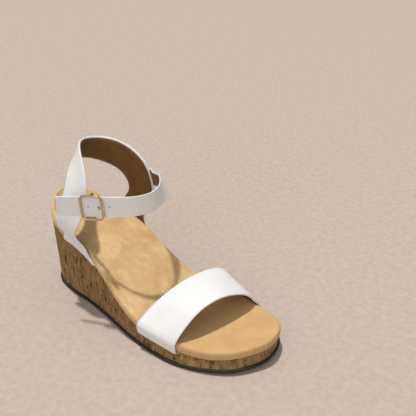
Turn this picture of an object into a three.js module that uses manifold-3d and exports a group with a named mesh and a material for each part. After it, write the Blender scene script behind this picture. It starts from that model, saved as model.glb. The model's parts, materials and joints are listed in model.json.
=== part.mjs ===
// Wedge sandal, right foot, in millimetres. +Z is up, +X points to the toe and +Y to the inner side of the foot.
// The origin is on the ground, under the middle of the sole.
import * as THREE from "three";
import { mergeVertices } from "three/addons/utils/BufferGeometryUtils.js";
import Module from "manifold-3d";

const wasm = await Module();
wasm.setup();

// ---- Driving dimensions ----
const footbedLength = 250;
const ballWidth = 94;
const heelHeight = 75.7; // ground to the joint line between cork and footbed, at the back of the heel
const ballHeight = 12.5; // the same, under the ball of the foot
const toeLift = 5.4; // the joint line's rise from the ball to the tip of the toe
const outsoleThickness = 4;
const toeSpring = 3.7; // how far the outsole's tip stands off the ground
const corkThickness = 1.5;
const boardThickness = 2;
const footbedThickness = 8.5; // joint line to the top of the rim at the ball
const heelCupRise = 6; // extra height of the rim at the back of the heel
const dish = 1.4; // depth of the footbed's middle below the rim at the ball
const coverThickness = 1.2;
const glueGap = 0.3;

const liningThickness = 0.7;
const tapeThickness = 0.4;
const outerThickness = 0.8;
const layerGap = 0.25;
const tuckDepth = 9; // how far a strap's end reaches in under the footbed

const toeStrapHeight = 37; // crown of the toe strap above the joint line at its ends
const heelStrapHeight = 153; // ground to the top edge of the heel strap
const flexGap = 1.3; // free slit where the heel strap bends above the rim, at its middle
const flexRelief = 1.9; // how much wider the slit is at the strap's two edges
const ankleStrapWidth = 19.5;
const ankleOuterThickness = 0.8;
const ankleLiningThickness = 0.6;

const buckleLength = 21.5;
const buckleWire = 1.9; // width of the frame's sides
const buckleThickness = 2;
const buckleClearance = 0.45; // between the strap's edges and the frame's window
const buckleHeight = ankleStrapWidth + 2 * (buckleClearance + buckleWire);
const buckleCorner = 5.5;
const buckleFromTail = 33.4; // centre bar to the end of the strap's free tail
const barRadius = 0.9;
const barDepth = 3.4; // centre bar behind the strap's middle surface
const frameStandOff = 1.7; // back of the frame in front of the strap's middle surface
const prongRadius = 0.6;
const holeRadius = 1.2;
const holeSpacing = 9.5;
const holeAlong = 5.6; // the hole in use, in front of the centre bar
const slotLength = 3.9; // the hole in use is pulled long by the prong

const treadPitch = 11;
const treadGroove = { width: 2.6, depth: 1.2, border: 7 };

const v3 = (x, y, z) => new THREE.Vector3(x, y, z);
const mix = (a, b, share) => a + (b - a) * share;
const heelX = -footbedLength / 2;
const xAt = (share) => heelX + share * footbedLength;
const smoothStep = (t) => t * t * (3 - 2 * t);
const clamp01 = (t) => Math.min(1, Math.max(0, t));

// ---- Solids from triangles ----
class Skin {
  points = [];
  triangle(a, b, c) {
    const tiny = 1e-3;
    if (a.distanceTo(b) > tiny && b.distanceTo(c) > tiny && c.distanceTo(a) > tiny) this.points.push(a, b, c);
  }
  quad(a, b, c, d) {
    this.triangle(a, b, c);
    this.triangle(a, c, d);
  }
  geometry() {
    return new THREE.BufferGeometry().setFromPoints(this.points);
  }
}

function toManifold(geometry) {
  const bare = new THREE.BufferGeometry().setAttribute("position", geometry.getAttribute("position").clone());
  if (geometry.index) bare.setIndex(geometry.index);
  const merged = mergeVertices(bare, 1e-3);
  return new wasm.Manifold(
    new wasm.Mesh({
      numProp: 3,
      vertProperties: new Float32Array(merged.attributes.position.array),
      triVerts: new Uint32Array(merged.index.array),
    }),
  );
}

function fromManifold(solid) {
  const mesh = solid.getMesh();
  const geometry = new THREE.BufferGeometry();
  geometry.setAttribute("position", new THREE.BufferAttribute(new Float32Array(mesh.vertProperties), 3));
  geometry.setIndex(new THREE.BufferAttribute(new Uint32Array(mesh.triVerts), 1));
  return geometry;
}

const cut = (geometry, tools) =>
  fromManifold(tools.reduce((solid, tool) => solid.subtract(toManifold(tool)), toManifold(geometry)));
const join = (geometry, others) =>
  fromManifold(others.reduce((solid, other) => solid.add(toManifold(other)), toManifold(geometry)));

// ---- Plan outlines: heel, outer side, toe, inner side; shares of the length and of the ball width ----
const rimOutline = [
  [0, 0], [0.056, -0.26], [0.165, -0.356], [0.28, -0.395], [0.393, -0.452],
  [0.507, -0.505], [0.623, -0.511], [0.738, -0.487], [0.848, -0.402], [0.944, -0.229],
  [1.002, 0.05], [0.972, 0.318], [0.854, 0.439], [0.74, 0.485], [0.625, 0.454],
  [0.514, 0.371], [0.4, 0.329], [0.284, 0.339], [0.168, 0.344], [0.058, 0.259],
];
const soleOutline = [
  [0.014, 0], [0.062, -0.25], [0.168, -0.34], [0.282, -0.367], [0.394, -0.418],
  [0.506, -0.483], [0.62, -0.524], [0.734, -0.522], [0.843, -0.438], [0.943, -0.263],
  [0.998, 0.02], [0.969, 0.315], [0.856, 0.458], [0.745, 0.495], [0.634, 0.422],
  [0.522, 0.309], [0.405, 0.272], [0.29, 0.291], [0.174, 0.303], [0.066, 0.236],
];
const ringCount = 64;

function planCurve(outline) {
  const points = outline.map(([along, across]) => v3(xAt(along), across * ballWidth, 0));
  return new THREE.CatmullRomCurve3(points, true, "centripetal");
}
const planRing = (outline, count = ringCount) =>
  Array.from({ length: count }, (_, i) => planCurve(outline).getPoint(i / count));

// Height of the joint line between the cork and the footbed along the shoe.
const jointShares = [
  [0, 1], [0.1, 0.877], [0.2, 0.786], [0.34, 0.701], [0.48, 0.339], [0.6, 0.07], [0.72, 0.022], [0.86, 0],
];
const jointSamples = new THREE.SplineCurve([
  ...jointShares.map(([along, share]) => new THREE.Vector2(xAt(along), mix(ballHeight, heelHeight, share))),
  new THREE.Vector2(xAt(1), ballHeight + toeLift),
]).getPoints(240);
function jointZ(x) {
  const next = jointSamples.findIndex((p) => p.x >= x);
  if (next === 0) return jointSamples[0].y;
  if (next < 0) return jointSamples.at(-1).y;
  const [a, b] = [jointSamples[next - 1], jointSamples[next]];
  return mix(a.y, b.y, (x - a.x) / (b.x - a.x));
}
const alongShare = (x) => (x - heelX) / footbedLength;
const springStart = 0.74;
const springZ = (x) => toeSpring * clamp01((alongShare(x) - springStart) / (1 - springStart)) ** 2;
const heelCupEnd = 0.26;
const rimHeight = (x) => footbedThickness + heelCupRise * smoothStep(clamp01(1 - alongShare(x) / heelCupEnd));

// A plan ring moved inwards, with its heights given by a function of x.
function insetRing(ring, distance, heightAt) {
  return ring.map((p, i) => {
    const before = ring[(i - 1 + ring.length) % ring.length];
    const after = ring[(i + 1) % ring.length];
    const along = after.clone().sub(before).setZ(0).normalize();
    const q = v3(p.x - along.y * distance, p.y + along.x * distance, 0);
    return q.setZ(heightAt(q.x));
  });
}

// Rows of points across a ring, from the heel to the toe, each from the outer to the inner side.
function crossRows(ring, steps, heightAt) {
  const half = ring.length / 2;
  return Array.from({ length: half + 1 }, (_, k) => {
    const [a, b] = [ring[k], ring[(ring.length - k) % ring.length]];
    return Array.from({ length: steps + 1 }, (_, m) => {
      if (m === 0 || k === 0 || k === half) return a;
      if (m === steps) return b;
      const p = a.clone().lerp(b, m / steps);
      return heightAt ? p.setZ(heightAt(p)) : p;
    });
  });
}

// A quad seen from its other side, split along the same diagonal.
const turned = ([a, b, c, d]) => [a, d, c, b];

function addRows(skin, rows, facingUp) {
  for (let k = 0; k + 1 < rows.length; k++) {
    for (let m = 0; m + 1 < rows[k].length; m++) {
      const corners = [rows[k][m], rows[k + 1][m], rows[k + 1][m + 1], rows[k][m + 1]];
      skin.quad(...(facingUp ? corners : turned(corners)));
    }
  }
}

function addBand(skin, lower, upper, facingOut = true) {
  lower.forEach((_, i) => {
    const j = (i + 1) % lower.length;
    const corners = [lower[i], lower[j], upper[j], upper[i]];
    skin.quad(...(facingOut ? corners : turned(corners)));
  });
}

// A solid whose skin passes through the rings in turn, closed by rows of points at both ends.
function stack(rings, bottomRows, topRows) {
  const skin = new Skin();
  rings.slice(1).forEach((ring, i) => addBand(skin, rings[i], ring));
  addRows(skin, bottomRows ?? crossRows(rings[0], 1), false);
  addRows(skin, topRows ?? crossRows(rings.at(-1), 1), true);
  return skin.geometry();
}

// ---- Sole ----
const rimRing = planRing(rimOutline);
const soleRing = planRing(soleOutline);
const soleTopZ = (x) => springZ(x) + outsoleThickness;

function makeOutsole() {
  const edge = 0.8;
  const body = stack([
    insetRing(soleRing, edge, springZ),
    insetRing(soleRing, 0, (x) => springZ(x) + edge),
    insetRing(soleRing, 0, soleTopZ),
  ]);
  const fine = planRing(soleOutline, 400);
  const grooves = [];
  const last = Math.floor((springStart * footbedLength - footbedLength / 2) / treadPitch);
  const first = Math.ceil((heelX + 20) / treadPitch - 0.5);
  for (let i = first; i <= last; i++) {
    const x = (i + 0.5) * treadPitch;
    const near = fine.filter((p) => Math.abs(p.x - x) < 2).map((p) => p.y);
    const low = Math.min(...near) + treadGroove.border;
    const high = Math.max(...near) - treadGroove.border;
    const groove = new THREE.BoxGeometry(treadGroove.width, high - low, 2 * treadGroove.depth);
    grooves.push(groove.translate(x, (low + high) / 2, 0));
  }
  return cut(body, grooves);
}

// The wedge's side wall runs straight from the outsole's outline up to the rim's outline.
const wedgeBottom = (distance) => insetRing(soleRing, distance, (x) => soleTopZ(x) + glueGap);
const wedgeTop = (distance) => insetRing(rimRing, distance, (x) => jointZ(x) - glueGap);

function makeCorkWrap() {
  const skin = new Skin();
  const [outerFoot, outerTop] = [wedgeBottom(0), wedgeTop(0)];
  const [innerFoot, innerTop] = [wedgeBottom(corkThickness), wedgeTop(corkThickness)];
  addBand(skin, outerFoot, outerTop);
  addBand(skin, outerTop, innerTop);
  addBand(skin, innerFoot, innerTop, false);
  addBand(skin, innerFoot, outerFoot);
  return cut(skin.geometry(), strapEnds.map(tuckPocket));
}

function makeWedgeCore() {
  const inside = corkThickness + glueGap;
  return cut(stack([wedgeBottom(inside), wedgeTop(inside)]), strapEnds.map(tuckPocket));
}

// ---- Footbed: a board and a foam pad inside a cover that wraps down round their edge ----
const shoulder = 3; // plan width of the rim's rounded shoulder
const cupReach = 15; // how far in from the rim the dish levels out
const shoulderRing = insetRing(rimRing, shoulder, () => 0);

function topHeight(p) {
  const reach = Math.min(...shoulderRing.map((q) => Math.hypot(q.x - p.x, q.y - p.y)));
  const level = footbedThickness - dish;
  return jointZ(p.x) + level + (rimHeight(p.x) - level) * clamp01(1 - reach / cupReach) ** 2;
}

// The rim's profile as [distance inwards, depth below the rim's top].
const rimProfile = (deeper, inwards) => [
  [inwards, 2.6 + deeper * 1.3],
  [inwards * 0.7 + 0.8, 0.8 + deeper],
];
const profileRings = (deeper, inwards) => [
  ...rimProfile(deeper, inwards).map(([distance, below]) =>
    insetRing(rimRing, distance, (x) => jointZ(x) + rimHeight(x) - below)),
  insetRing(rimRing, shoulder, (x) => jointZ(x) + rimHeight(x) - deeper),
];
const topRows = (rings, deeper) => crossRows(rings.at(-1), 8, (p) => topHeight(p) - deeper);

function makeCover() {
  const outside = [insetRing(rimRing, 0, jointZ), ...profileRings(0, 0)];
  const inside = [insetRing(rimRing, coverThickness, jointZ), ...profileRings(coverThickness, coverThickness)];
  const skin = new Skin();
  outside.slice(1).forEach((ring, i) => addBand(skin, outside[i], ring));
  inside.slice(1).forEach((ring, i) => addBand(skin, inside[i], ring, false));
  addBand(skin, inside[0], outside[0]);
  addRows(skin, topRows(outside, 0), true);
  addRows(skin, topRows(inside, coverThickness), false);
  return skin.geometry();
}

const padInset = coverThickness + glueGap;

function makeBoard() {
  return stack([
    insetRing(rimRing, padInset, jointZ),
    insetRing(rimRing, padInset, (x) => jointZ(x) + boardThickness),
  ]);
}

function makeFoam() {
  const rings = [
    insetRing(rimRing, padInset, (x) => jointZ(x) + boardThickness + glueGap),
    ...profileRings(padInset, padInset),
  ];
  return stack(rings, undefined, topRows(rings, padInset));
}

// ---- Straps: a middle surface of points along and across, and layers at depths to each side of it ----
const strapThickness = liningThickness + tapeThickness + outerThickness + 2 * layerGap;
const tuckGap = 0.5; // between a strap and the rim's wall or the board above its tucked end
const tuckRise = tuckGap + strapThickness / 2;
const liningLayer = [-strapThickness / 2, -strapThickness / 2 + liningThickness];
const outerLayer = [strapThickness / 2 - outerThickness, strapThickness / 2];
const tapeLayer = [outerLayer[0] - layerGap - tapeThickness, outerLayer[0] - layerGap];

const fineRim = planRing(rimOutline, 800);
function rimAt(x, side) {
  const candidates = fineRim.map((p, i) => ({ p, i })).filter(({ p }) => Math.sign(p.y) === side);
  const { p, i } = candidates.reduce((best, c) => (Math.abs(c.p.x - x) < Math.abs(best.p.x - x) ? c : best));
  const along = fineRim[(i + 1) % fineRim.length].clone().sub(fineRim[(i + fineRim.length - 1) % fineRim.length]);
  const outward = v3(along.y, -along.x, 0).normalize();
  // A point so far outside the rim, and so far above the joint line there.
  return (out, rise) => {
    const q = v3(x, p.y, 0).addScaledVector(outward, out);
    return q.setZ(jointZ(q.x) + rise);
  };
}

// Where a strap's end goes in between the footbed and the wedge.
function tuckPoints(x, side) {
  const at = rimAt(x, side);
  const arc = [-90, -60, -30, 0].map((degrees) => {
    const angle = THREE.MathUtils.degToRad(degrees);
    return at(tuckRise * Math.cos(angle), tuckRise * Math.sin(angle));
  });
  return [at(-tuckDepth, -tuckRise), at(-tuckDepth / 2, -tuckRise), ...arc];
}
const wallPoint = (x, side, rise) => rimAt(x, side)(tuckRise, rise);

// A strap end's pocket in the top of the wedge.
function tuckPocket({ rear, front, side }) {
  const slack = 0.5;
  const depth = tuckGap + strapThickness + slack;
  const rows = Array.from({ length: 7 }, (_, i) => {
    const at = rimAt(mix(rear - slack, front + slack, i / 6), side);
    return [at(6, -depth), at(6, 3), at(-tuckDepth - slack, 3), at(-tuckDepth - slack, -depth)];
  });
  return prismAlong(rows);
}

// A solid through a row of four-cornered sections.
function prismAlong(rows) {
  const skin = new Skin();
  for (let i = 0; i + 1 < rows.length; i++) {
    for (let m = 0; m < 4; m++) {
      const n = (m + 1) % 4;
      skin.quad(rows[i][m], rows[i + 1][m], rows[i + 1][n], rows[i][n]);
    }
  }
  skin.quad(...rows[0]);
  skin.quad(...rows.at(-1).slice().reverse());
  const geometry = skin.geometry();
  return toManifold(geometry).volume() > 0 ? geometry : turnedInsideOut(geometry);
}
function turnedInsideOut(geometry) {
  const flipped = geometry.clone();
  const position = flipped.getAttribute("position");
  for (let i = 0; i < position.count; i += 3) {
    const [b, c] = [v3(), v3()];
    b.fromBufferAttribute(position, i + 1);
    c.fromBufferAttribute(position, i + 2);
    position.setXYZ(i + 1, c.x, c.y, c.z);
    position.setXYZ(i + 2, b.x, b.y, b.z);
  }
  return flipped;
}

const alongAt = (grid, i, m) => {
  const before = grid[Math.max(0, i - 1)][m];
  const after = grid[Math.min(grid.length - 1, i + 1)][m];
  return after.clone().sub(before);
};
const acrossAt = (grid, i, m) => {
  const row = grid[i];
  return row[Math.min(row.length - 1, m + 1)].clone().sub(row[Math.max(0, m - 1)]);
};
// Outward normals of a grid whose rows run along the strap and whose columns run across it.
const normalsOf = (grid) =>
  grid.map((row, i) => row.map((_, m) => alongAt(grid, i, m).cross(acrossAt(grid, i, m)).normalize()));

// A layer of a strap between two depths, each a number or a function of the row and column.
function layer(grid, from, to) {
  const normals = normalsOf(grid);
  const depthAt = (depth, i, m) => (typeof depth === "function" ? depth(i, m) : depth);
  const offset = (depth) =>
    grid.map((row, i) => row.map((p, m) => p.clone().addScaledVector(normals[i][m], depthAt(depth, i, m))));
  const [inner, outer] = [offset(from), offset(to)];
  const [rows, columns] = [grid.length - 1, grid[0].length - 1];
  const skin = new Skin();
  addRows(skin, outer, true);
  addRows(skin, inner, false);
  for (let i = 0; i < rows; i++) {
    skin.quad(inner[i][0], inner[i + 1][0], outer[i + 1][0], outer[i][0]);
    skin.quad(outer[i][columns], outer[i + 1][columns], inner[i + 1][columns], inner[i][columns]);
  }
  for (let m = 0; m < columns; m++) {
    skin.quad(inner[0][m], outer[0][m], outer[0][m + 1], inner[0][m + 1]);
    skin.quad(inner[rows][m + 1], outer[rows][m + 1], outer[rows][m], inner[rows][m]);
  }
  return skin.geometry();
}

// Rows of a grid from one list of points for each column.
const gridOf = (columns) => columns[0].map((_, i) => columns.map((column) => column[i]));
const sampled = (points, count) =>
  Array.from({ length: count + 1 }, (_, i) =>
    new THREE.CatmullRomCurve3(points, false, "centripetal").getPoint(i / count));
// Columns run from a strap's front or top edge, share 1, to its rear or lower edge, share 0.
const columnShares = (count) => Array.from({ length: count + 1 }, (_, m) => 1 - m / count);

const outerSide = -1;
const innerSide = 1;

// ---- Toe strap ----
const toeEnds = {
  outer: { rear: xAt(0.585), front: xAt(0.748), side: outerSide },
  inner: { rear: xAt(0.692), front: xAt(0.845), side: innerSide },
};
// The arch's edges as [share along the shoe, share of the ball width, share of the strap's height].
const toeRearEdge = [
  [0.593, -0.44, 0.52], [0.612, -0.27, 0.76], [0.635, -0.05, 0.93], [0.66, 0.18, 0.985],
  [0.682, 0.38, 0.88], [0.688, 0.46, 0.68],
];
const toeFrontEdge = [
  [0.758, -0.4, 0.52], [0.775, -0.22, 0.82], [0.798, 0, 0.905], [0.82, 0.22, 0.75],
  [0.834, 0.345, 0.555], [0.84, 0.41, 0.36],
];
const toeSteps = 20;
const toePoint = ([along, across, rise]) =>
  v3(xAt(along), across * ballWidth, ballHeight + rise * (toeStrapHeight + 2));

function toeStrapGrid() {
  const columns = columnShares(4).map((share) => {
    const ends = [toeEnds.outer, toeEnds.inner].map(({ rear, front, side }) => ({ x: mix(rear, front, share), side }));
    const free = toeRearEdge.map((rear, j) => toePoint(rear).lerp(toePoint(toeFrontEdge[j]), share));
    const [outer, inner] = ends.map(({ x, side }) => ({
      tuck: tuckPoints(x, side),
      wall: [1, footbedThickness].map((rise) => wallPoint(x, side, rise)),
    }));
    const arch = sampled([...outer.wall, ...free, ...inner.wall.toReversed()], toeSteps);
    return [...outer.tuck, ...arch, ...inner.tuck.toReversed()];
  });
  return gridOf(columns);
}

// ---- Heel strap: two glued ends, and the part above them that bends at the flex slit ----
const heelEnds = {
  outer: { rear: xAt(0.24), front: xAt(0.35), side: outerSide },
  inner: { rear: xAt(0.236), front: xAt(0.362), side: innerSide },
};
const strapEnds = [...Object.values(toeEnds), ...Object.values(heelEnds)];
const flexRise = footbedThickness + 3.2; // flex slit above the joint line
// Edges as [share along the shoe, share of the ball width, share of the strap's height].
const heelFrontEdge = [
  [0.296, -0.468, 0.53], [0.304, -0.436, 0.645], [0.305, -0.34, 0.775], [0.272, -0.245, 0.89],
  [0.214, -0.14, 0.955], [0.155, -0.01, 0.98], [0.122, 0.12, 0.968], [0.134, 0.258, 0.956],
  [0.184, 0.362, 0.94], [0.248, 0.42, 0.902], [0.312, 0.438, 0.83], [0.344, 0.445, 0.72],
  [0.355, 0.43, 0.59],
];
const heelRearEdge = [
  [0.19, -0.445, 0.555], [0.189, -0.418, 0.665], [0.186, -0.32, 0.77], [0.168, -0.225, 0.835],
  [0.142, -0.115, 0.86], [0.112, 0.005, 0.852], [0.092, 0.125, 0.818], [0.104, 0.235, 0.792],
  [0.14, 0.335, 0.758], [0.18, 0.4, 0.72], [0.214, 0.425, 0.66], [0.23, 0.425, 0.575],
  [0.235, 0.41, 0.49],
];
const heelPoint = ([along, across, rise]) => v3(xAt(along), across * ballWidth, rise * heelStrapHeight);
const heelSteps = 36;

function heelAnchorGrid({ rear, front, side }) {
  const columns = columnShares(4).map((share) => {
    const x = mix(rear, front, share);
    const top = flexRise - flexGap / 2 - flexRelief * Math.abs(2 * share - 1);
    const wall = [1, flexRise / 2, top].map((rise) => wallPoint(x, side, rise));
    return [...tuckPoints(x, side), ...wall];
  });
  const grid = gridOf(columns);
  return side === outerSide ? grid : grid.toReversed();
}

function heelStrapGrid() {
  const columns = columnShares(4).map((share) => {
    const [outer, inner] = [heelEnds.outer, heelEnds.inner].map(({ rear, front, side }) =>
      wallPoint(mix(rear, front, share), side, flexRise + flexGap / 2));
    const free = heelRearEdge.map((rear, j) => heelPoint(rear).lerp(heelPoint(heelFrontEdge[j]), share));
    return sampled([outer, ...free, inner], heelSteps);
  });
  return gridOf(columns);
}

// ---- Ankle strap ----
// Top edge as [x, y, z] from the seam on the heel strap's inner side, round the front, to the free tail.
const ankleTopEdge = [
  [-32, 34.5, 124], [-19, 28.5, 127.5], [-9, 20, 129.4], [-1, 9.5, 129.9], [1.4, -2, 129.6],
  [-2.8, -15.3, 130], [-13.3, -26.6, 130.3], [-26.4, -35.3, 129.9], [-38.9, -41.6, 128.8],
  [-50.8, -47.3, 127.4], [-62.8, -53, 126],
];
const ankleLowEdge = [
  [-25.5, 38.6, 105], [-11.5, 34, 109.6], [-3.2, 23.5, 110.8], [0.6, 10.8, 110.6], [1.7, -2.3, 110.1],
  [-3.2, -15.9, 110.5], [-12.7, -27.2, 111], [-24.6, -35.6, 110.6], [-37.4, -41.8, 109.4],
  [-50.6, -47.5, 107.9], [-63.8, -53.1, 106.6],
];
const seamDepth = 8; // how far the ankle strap's root reaches in between the heel strap's layers
const skive = 0.6; // share of the ankle strap's thickness left at that root

// Edges brought to the strap's real width about their middle line.
function ankleEdges() {
  return ankleTopEdge.map((top, i) => {
    const [a, b] = [v3(...top), v3(...ankleLowEdge[i])];
    const middle = a.clone().add(b).divideScalar(2);
    const half = a.sub(b).setLength(ankleStrapWidth / 2);
    return [middle.clone().sub(half), middle.add(half)];
  });
}

// A point on the heel strap's middle surface, on one side of the foot: where its front edge is at height z,
// so far in from that edge towards the rear one, and lifted off the surface.
function onHeelStrap(grid, side, z, inward, lift) {
  const normals = normalsOf(grid);
  const low = grid.findIndex((row, i) =>
    Math.sign(row[0].y) === side && i + 1 < grid.length && (row[0].z - z) * (grid[i + 1][0].z - z) <= 0);
  const share = (z - grid[low][0].z) / (grid[low + 1][0].z - grid[low][0].z);
  const between = (rows, m) => rows[low].at(m).clone().lerp(rows[low + 1].at(m), share);
  const edge = between(grid, 0);
  const back = between(grid, -1).sub(edge).normalize();
  return edge.addScaledVector(back, inward).addScaledVector(between(normals, 0).normalize(), lift);
}

// The inner-side seam, where the ankle strap's root sits between the heel strap's layers.
const seamHeights = { low: 101.5, top: 119.5 };
const seamPoints = (heelGrid, inward) =>
  [seamHeights.low, seamHeights.top].map((z) => onHeelStrap(heelGrid, innerSide, z, inward, seamCentre));

// The heel strap's outer layer stands off its lining round the seam, to make room for the root.
const seamBulge = 1.7;
const seamCentre = (liningLayer[1] + outerLayer[0] + seamBulge) / 2;
function bulgeAt(heelGrid) {
  const centre = onHeelStrap(heelGrid, innerSide, (seamHeights.low + seamHeights.top) / 2, 0, 0);
  const [full, reach] = [13, 30];
  return (i, m) => {
    const distance = heelGrid[i][m].distanceTo(centre);
    return seamBulge * smoothStep(clamp01((reach - distance) / (reach - full)));
  };
}

const ankleSteps = 44;
function ankleStrapGrid(heelGrid) {
  const edges = ankleEdges();
  const [root, mouth] = [seamDepth, -2.5].map((inward) => seamPoints(heelGrid, inward));
  const columns = columnShares(2).map((share) =>
    sampled([root, mouth, ...edges].map(([low, top]) => low.clone().lerp(top, share)), ankleSteps));
  return gridOf(columns);
}

// The buckle's own axes: X along the strap towards the front, Y up the strap's width, Z out from the foot.
function buckleMatrix(grid) {
  let i = grid.length - 1;
  let left = buckleFromTail;
  const step = (row) => grid[row][1].distanceTo(grid[row - 1][1]);
  for (; left > step(i); i--) left -= step(i);
  const between = (m) => grid[i][m].clone().lerp(grid[i - 1][m], left / step(i));
  const forward = grid[i - 1][1].clone().sub(grid[i][1]).normalize();
  const out = forward.clone().cross(between(0).sub(between(2))).normalize();
  return new THREE.Matrix4().makeBasis(forward, out.clone().cross(forward), out).setPosition(between(1));
}

function roundedRectangle(shape, width, height, corner) {
  const [x, y] = [width / 2, height / 2];
  shape.moveTo(-x + corner, -y);
  shape.lineTo(x - corner, -y);
  shape.absarc(x - corner, -y + corner, corner, -Math.PI / 2, 0);
  shape.lineTo(x, y - corner);
  shape.absarc(x - corner, y - corner, corner, 0, Math.PI / 2);
  shape.lineTo(-x + corner, y);
  shape.absarc(-x + corner, y - corner, corner, Math.PI / 2, Math.PI);
  shape.lineTo(-x, -y + corner);
  shape.absarc(-x + corner, -y + corner, corner, Math.PI, Math.PI * 1.5);
  return shape;
}
const circleShape = (radius) => new THREE.Shape().absarc(0, 0, radius, 0, 2 * Math.PI);
const rod = (points, radius, steps) =>
  new THREE.ExtrudeGeometry(circleShape(radius), {
    steps,
    curveSegments: 5,
    extrudePath: new THREE.CatmullRomCurve3(points.map((p) => v3(...p)), false, "centripetal"),
  });

function makeBuckleFrame() {
  const outline = roundedRectangle(new THREE.Shape(), buckleLength, buckleHeight, buckleCorner);
  const window = [buckleLength, buckleHeight].map((size) => size - 2 * buckleWire);
  outline.holes.push(roundedRectangle(new THREE.Path(), ...window, buckleCorner - buckleWire));
  const bevel = 0.4;
  const flat = new THREE.ExtrudeGeometry(outline, {
    depth: buckleThickness - 2 * bevel,
    bevelSize: bevel,
    bevelOffset: -bevel,
    bevelThickness: bevel,
    bevelSegments: 1,
    curveSegments: 5,
  }).translate(0, 0, frameStandOff + bevel);
  const side = (buckleHeight - buckleWire) / 2;
  const [top, deep] = [frameStandOff + buckleThickness / 2, -barDepth];
  const bar = rod([
    [0, side, top], [0, side, top - 2], [0, side, deep + 1.2], [0, side - 1.2, deep], [0, side - 4, deep],
    [0, 0, deep], [0, 4 - side, deep], [0, 1.2 - side, deep], [0, -side, deep + 1.2], [0, -side, top - 2],
    [0, -side, top],
  ], barRadius, 22);
  return join(flat, [bar]);
}

const eyeClearance = 0.2;
function makeProng() {
  const ringRadius = barRadius + eyeClearance + prongRadius;
  const eye = new THREE.TorusGeometry(ringRadius, prongRadius, 8, 16)
    .rotateX(Math.PI / 2)
    .translate(0, 0, -barDepth);
  const reach = (buckleLength - buckleWire) / 2;
  const rest = frameStandOff + buckleThickness + glueGap + prongRadius;
  const pin = rod([
    [ringRadius, 0, -barDepth], [3.4, 0, -2.3], [holeAlong - 0.5, 0, -1.2], [holeAlong + 0.6, 0, 1.6],
    [holeAlong + 2.1, 0, rest - 0.25], [reach, 0, rest], [reach + 1.8, 0, rest - 0.1],
  ], prongRadius, 16);
  return join(eye, [pin]);
}

// ---- Holes along the ankle strap, in the buckle's axes ----
const punchLength = 8;
function holeTool(place) {
  const round = new THREE.CylinderGeometry(holeRadius, holeRadius, punchLength, 12).rotateX(Math.PI / 2);
  const tool = place === 0 ? round.scale(slotLength / (2 * holeRadius), 1, 1) : round;
  return tool.translate(holeAlong + place * holeSpacing, 0, 0);
}

// ---- Buckle tab: a leather loop from the heel strap's outer side round the centre bar ----
const tabWidth = 11;
const tabThickness = 0.8;
const tabHeight = 113; // middle of the tab's root on the heel strap's front edge
function makeTab(matrix, heelGrid) {
  const seat = strapThickness / 2 + glueGap + tabThickness / 2;
  const sides = [1, 0, -1];
  const rootRow = (inward, lift = seat) =>
    sides.map((s) => onHeelStrap(heelGrid, outerSide, tabHeight + (s * tabWidth) / 2, inward, lift));
  const loop = barRadius + eyeClearance + tabThickness / 2;
  const loopRow = (degrees) => {
    const angle = THREE.MathUtils.degToRad(degrees);
    const [x, z] = [-loop * Math.cos(angle), -barDepth + loop * Math.sin(angle)];
    return sides.map((s) => v3(x, (s * tabWidth) / 2, z).applyMatrix4(matrix));
  };
  const root = [9, 4.5, 0.5].map((inward) => rootRow(inward));
  const arc = [60, 90, 120, 150, 180, 210, 240, 270, 300].map(loopRow);
  const end = arc.at(-1).map((p, m) => p.clone().lerp(rootRow(0.5, seat - tabThickness - glueGap)[m], 0.4));
  const slit = new THREE.BoxGeometry(2 * loop + 4, 2 * prongRadius + 1, 2 * loop + 4)
    .translate(0.8, 0, -barDepth)
    .applyMatrix4(matrix);
  return cut(layer([...root, ...arc, end], -tabThickness / 2, tabThickness / 2), [slit]);
}

// ---- Assembly ----
const finish = (color, roughness, metalness = 0) => new THREE.MeshStandardMaterial({ color, roughness, metalness });
const finishes = {
  rubber: finish(0x4a4238, 0.85),
  foam: finish(0xd8d2c4, 0.9),
  cork: finish(0xb5854c, 0.85),
  board: finish(0x8a6f4d, 0.9),
  suede: finish(0xd9b07a, 0.95),
  white: finish(0xf2f0ec, 0.45),
  tape: finish(0xe6e2d8, 0.9),
  lining: finish(0x8a5f36, 0.7),
  gold: finish(0xc9a15a, 0.25, 1),
};

const sandal = new THREE.Group();
const place = (name, geometry, material, parent = sandal) => {
  const mesh = new THREE.Mesh(geometry, finishes[material].clone());
  mesh.name = name;
  parent.add(mesh);
};

place("outsole", makeOutsole(), "rubber");
place("wedge_core", makeWedgeCore(), "foam");
place("cork_wrap", makeCorkWrap(), "cork");
place("insole_board", makeBoard(), "board");
place("footbed_foam", makeFoam(), "foam");
place("footbed_cover", makeCover(), "suede");

const narrowed = (grid) => grid.map((row) => row.slice(1, -1));
const toeGrid = toeStrapGrid();
place("toe_strap_outer", layer(toeGrid, ...outerLayer), "white");
place("toe_strap_tape", layer(narrowed(toeGrid), ...tapeLayer), "tape");
place("toe_strap_lining", layer(toeGrid, ...liningLayer), "lining");

for (const [side, ends] of Object.entries(heelEnds)) {
  const grid = heelAnchorGrid(ends);
  place(`heel_anchor_${side}_outer`, layer(grid, ...outerLayer), "white");
  place(`heel_anchor_${side}_tape`, layer(narrowed(grid), ...tapeLayer), "tape");
  place(`heel_anchor_${side}_lining`, layer(grid, ...liningLayer), "lining");
}

const heelGrid = heelStrapGrid();
const bulge = bulgeAt(heelGrid);
const [outerFrom, outerTo] = outerLayer.map((depth) => (i, m) => depth + bulge(i, m));
place("heel_strap_outer", layer(heelGrid, outerFrom, outerTo), "white");
place("heel_strap_tape", layer(heelGrid.map((row) => row.slice(2)), ...tapeLayer), "tape");
place("heel_strap_lining", layer(heelGrid, ...liningLayer), "lining");

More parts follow.
